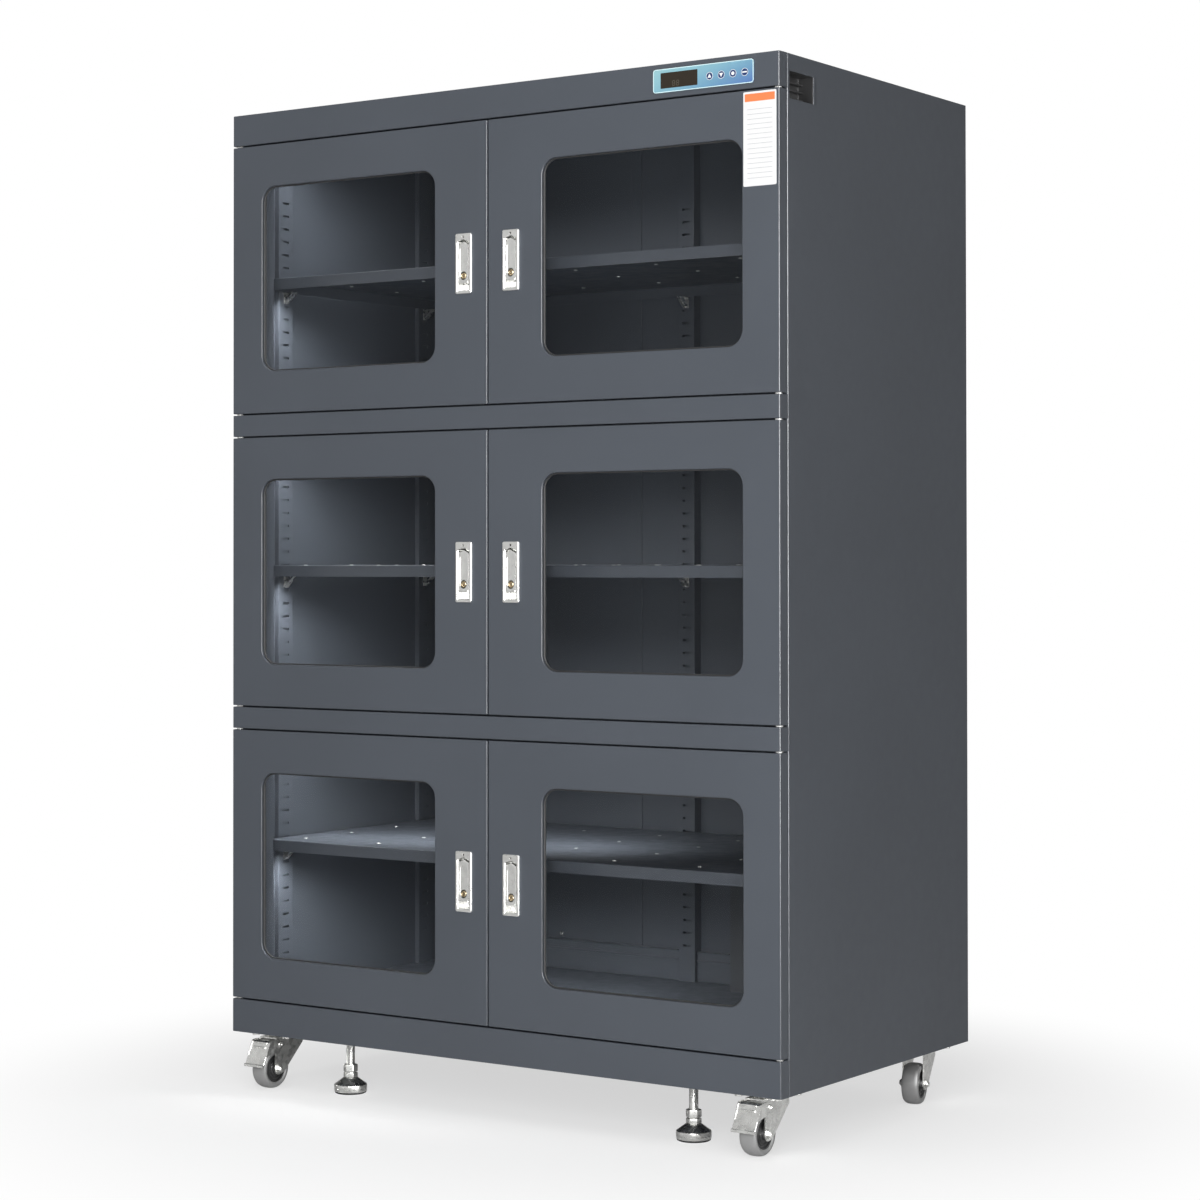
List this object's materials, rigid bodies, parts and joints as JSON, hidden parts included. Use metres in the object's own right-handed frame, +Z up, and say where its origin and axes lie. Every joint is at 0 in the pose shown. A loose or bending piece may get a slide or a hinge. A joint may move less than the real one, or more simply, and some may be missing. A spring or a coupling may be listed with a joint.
{
  "type": "desiccator cabinet",
  "caption": "Tall steel dry cabinet on swivel casters, with glazed hinged doors in pairs, flush lever locks, slotted shelf uprights, a control panel and levelling feet.",
  "frame": {"origin": "on the floor, midway across the width and midway between the tips of the brake pedals and the back panel", "axes": "+Z up, the doors face -Y, +X to the right when looking at the doors"},
  "size_m": [1.2, 0.7, 1.84],
  "materials": {
    "powder_coat": "fine satin powder coat, dark slate grey",
    "zinc_plate": "bright zinc plate",
    "satin_chrome": "satin chrome",
    "key_brass": "polished",
    "window_glass": "clear tempered glass",
    "seal_rubber": "matte",
    "caster_tread": "grey nylon, satin",
    "panel_film": "printed film",
    "dryer_housing": "matte",
    "desiccant_plastic": "matte",
    "black_plastic": "matte"
  },
  "bodies": {
    "cabinet": {"side_panels": "powder_coat", "back_panel": "powder_coat", "top_panel": "powder_coat", "floor_panel": "powder_coat", "front_rails": "powder_coat", "header": "powder_coat", "frame_posts": "powder_coat", "base_frame": "powder_coat", "caster_plates": "zinc_plate", "hinge_pins": "zinc_plate", "door_seals": "seal_rubber", "shelf_uprights": "powder_coat", "shelves": "powder_coat", "shelf_hooks": "zinc_plate", "drying_unit": "dryer_housing", "desiccant_tray": "desiccant_plastic", "power_inlet": "black_plastic", "control_panel": "panel_film"},
    "lower_left_door": {"lower_left_door": "powder_coat", "lower_left_window": "window_glass", "lower_left_lock_case": "satin_chrome"},
    "lower_left_lever": {"lower_left_lock_lever": "satin_chrome"},
    "lower_left_latch": {"lower_left_lock_cylinder": "key_brass"},
    "lower_right_door": {"lower_right_door": "powder_coat", "lower_right_window": "window_glass", "lower_right_lock_case": "satin_chrome"},
    "lower_right_lever": {"lower_right_lock_lever": "satin_chrome"},
    "lower_right_latch": {"lower_right_lock_cylinder": "key_brass"},
    "middle_left_door": {"middle_left_door": "powder_coat", "middle_left_window": "window_glass", "middle_left_lock_case": "satin_chrome"},
    "middle_left_lever": {"middle_left_lock_lever": "satin_chrome"},
    "middle_left_latch": {"middle_left_lock_cylinder": "key_brass"},
    "middle_right_door": {"middle_right_door": "powder_coat", "middle_right_window": "window_glass", "middle_right_lock_case": "satin_chrome"},
    "middle_right_lever": {"middle_right_lock_lever": "satin_chrome"},
    "middle_right_latch": {"middle_right_lock_cylinder": "key_brass"},
    "upper_left_door": {"upper_left_door": "powder_coat", "upper_left_window": "window_glass", "upper_left_lock_case": "satin_chrome"},
    "upper_left_lever": {"upper_left_lock_lever": "satin_chrome"},
    "upper_left_latch": {"upper_left_lock_cylinder": "key_brass"},
    "upper_right_door": {"upper_right_door": "powder_coat", "upper_right_window": "window_glass", "upper_right_lock_case": "satin_chrome"},
    "upper_right_lever": {"upper_right_lock_lever": "satin_chrome"},
    "upper_right_latch": {"upper_right_lock_cylinder": "key_brass"},
    "front_left_fork": {"front_left_caster_fork": "zinc_plate"},
    "front_left_wheel": {"front_left_caster_wheel": "caster_tread"},
    "front_left_pedal": {"front_left_brake_pedal": "zinc_plate"},
    "front_right_fork": {"front_right_caster_fork": "zinc_plate"},
    "front_right_wheel": {"front_right_caster_wheel": "caster_tread"},
    "front_right_pedal": {"front_right_brake_pedal": "zinc_plate"},
    "rear_left_fork": {"rear_left_caster_fork": "zinc_plate"},
    "rear_left_wheel": {"rear_left_caster_wheel": "caster_tread"},
    "rear_right_fork": {"rear_right_caster_fork": "zinc_plate"},
    "rear_right_wheel": {"rear_right_caster_wheel": "caster_tread"},
    "left_foot": {"left_levelling_foot": "zinc_plate"},
    "right_foot": {"right_levelling_foot": "zinc_plate"}
  },
  "joints": [
    {"name": "lower_left_door_hinge", "type": "hinge", "parent": "cabinet", "child": "lower_left_door", "pos_m": [-0.5915, -0.322, 0.17], "axis": [0, 0, -1], "range_deg": [0, 110]},
    {"name": "lower_left_lever_lift", "type": "hinge", "parent": "lower_left_door", "child": "lower_left_lever", "pos_m": [-0.052, -0.329, 0.45683], "axis": [-1, 0, 0], "range_deg": [0, 35]},
    {"name": "lower_left_key_turn", "type": "hinge", "parent": "lower_left_door", "child": "lower_left_latch", "pos_m": [-0.052, -0.336, 0.40083], "axis": [0, -1, 0], "range_deg": [0, 90]},
    {"name": "lower_right_door_hinge", "type": "hinge", "parent": "cabinet", "child": "lower_right_door", "pos_m": [0.5915, -0.322, 0.17], "axis": [0, 0, 1], "range_deg": [0, 110]},
    {"name": "lower_right_lever_lift", "type": "hinge", "parent": "lower_right_door", "child": "lower_right_lever", "pos_m": [0.052, -0.329, 0.45683], "axis": [-1, 0, 0], "range_deg": [0, 35]},
    {"name": "lower_right_key_turn", "type": "hinge", "parent": "lower_right_door", "child": "lower_right_latch", "pos_m": [0.052, -0.336, 0.40083], "axis": [0, 1, 0], "range_deg": [0, 90]},
    {"name": "middle_left_door_hinge", "type": "hinge", "parent": "cabinet", "child": "middle_left_door", "pos_m": [-0.5915, -0.322, 0.72167], "axis": [0, 0, -1], "range_deg": [0, 110]},
    {"name": "middle_left_lever_lift", "type": "hinge", "parent": "middle_left_door", "child": "middle_left_lever", "pos_m": [-0.052, -0.329, 1.0085], "axis": [-1, 0, 0], "range_deg": [0, 35]},
    {"name": "middle_left_key_turn", "type": "hinge", "parent": "middle_left_door", "child": "middle_left_latch", "pos_m": [-0.052, -0.336, 0.9525], "axis": [0, -1, 0], "range_deg": [0, 90]},
    {"name": "middle_right_door_hinge", "type": "hinge", "parent": "cabinet", "child": "middle_right_door", "pos_m": [0.5915, -0.322, 0.72167], "axis": [0, 0, 1], "range_deg": [0, 110]},
    {"name": "middle_right_lever_lift", "type": "hinge", "parent": "middle_right_door", "child": "middle_right_lever", "pos_m": [0.052, -0.329, 1.0085], "axis": [-1, 0, 0], "range_deg": [0, 35]},
    {"name": "middle_right_key_turn", "type": "hinge", "parent": "middle_right_door", "child": "middle_right_latch", "pos_m": [0.052, -0.336, 0.9525], "axis": [0, 1, 0], "range_deg": [0, 90]},
    {"name": "upper_left_door_hinge", "type": "hinge", "parent": "cabinet", "child": "upper_left_door", "pos_m": [-0.5915, -0.322, 1.27333], "axis": [0, 0, -1], "range_deg": [0, 110]},
    {"name": "upper_left_lever_lift", "type": "hinge", "parent": "upper_left_door", "child": "upper_left_lever", "pos_m": [-0.052, -0.329, 1.56017], "axis": [-1, 0, 0], "range_deg": [0, 35]},
    {"name": "upper_left_key_turn", "type": "hinge", "parent": "upper_left_door", "child": "upper_left_latch", "pos_m": [-0.052, -0.336, 1.50417], "axis": [0, -1, 0], "range_deg": [0, 90]},
    {"name": "upper_right_door_hinge", "type": "hinge", "parent": "cabinet", "child": "upper_right_door", "pos_m": [0.5915, -0.322, 1.27333], "axis": [0, 0, 1], "range_deg": [0, 110]},
    {"name": "upper_right_lever_lift", "type": "hinge", "parent": "upper_right_door", "child": "upper_right_lever", "pos_m": [0.052, -0.329, 1.56017], "axis": [-1, 0, 0], "range_deg": [0, 35]},
    {"name": "upper_right_key_turn", "type": "hinge", "parent": "upper_right_door", "child": "upper_right_latch", "pos_m": [0.052, -0.336, 1.50417], "axis": [0, 1, 0], "range_deg": [0, 90]},
    {"name": "front_left_swivel", "type": "hinge", "parent": "cabinet", "child": "front_left_fork", "pos_m": [-0.535, -0.265, 0.08], "axis": [0, 0, 1], "continuous": true},
    {"name": "front_left_wheel_spin", "type": "hinge", "parent": "front_left_fork", "child": "front_left_wheel", "pos_m": [-0.535, -0.3, 0.0375], "axis": [1, 0, 0], "continuous": true},
    {"name": "front_left_brake", "type": "hinge", "parent": "front_left_fork", "child": "front_left_pedal", "pos_m": [-0.535, -0.298, 0.083], "axis": [1, 0, 0], "range_deg": [0, 8]},
    {"name": "front_right_swivel", "type": "hinge", "parent": "cabinet", "child": "front_right_fork", "pos_m": [0.535, -0.265, 0.08], "axis": [0, 0, 1], "continuous": true},
    {"name": "front_right_wheel_spin", "type": "hinge", "parent": "front_right_fork", "child": "front_right_wheel", "pos_m": [0.535, -0.3, 0.0375], "axis": [1, 0, 0], "continuous": true},
    {"name": "front_right_brake", "type": "hinge", "parent": "front_right_fork", "child": "front_right_pedal", "pos_m": [0.535, -0.298, 0.083], "axis": [1, 0, 0], "range_deg": [0, 8]},
    {"name": "rear_left_swivel", "type": "hinge", "parent": "cabinet", "child": "rear_left_fork", "pos_m": [-0.535, 0.281, 0.08], "axis": [0, 0, 1], "continuous": true},
    {"name": "rear_left_wheel_spin", "type": "hinge", "parent": "rear_left_fork", "child": "rear_left_wheel", "pos_m": [-0.535, 0.246, 0.0375], "axis": [1, 0, 0], "continuous": true},
    {"name": "rear_right_swivel", "type": "hinge", "parent": "cabinet", "child": "rear_right_fork", "pos_m": [0.535, 0.281, 0.08], "axis": [0, 0, 1], "continuous": true},
    {"name": "rear_right_wheel_spin", "type": "hinge", "parent": "rear_right_fork", "child": "rear_right_wheel", "pos_m": [0.54228, 0.24677, 0.0375], "axis": [0.9781, 0.2079, 0], "continuous": true},
    {"name": "left_foot_screw", "type": "slide", "parent": "cabinet", "child": "left_foot", "axis": [0, 0, 1], "range_m": [-0.025, 0.018]},
    {"name": "right_foot_screw", "type": "slide", "parent": "cabinet", "child": "right_foot", "axis": [0, 0, 1], "range_m": [-0.025, 0.018]}
  ]
}
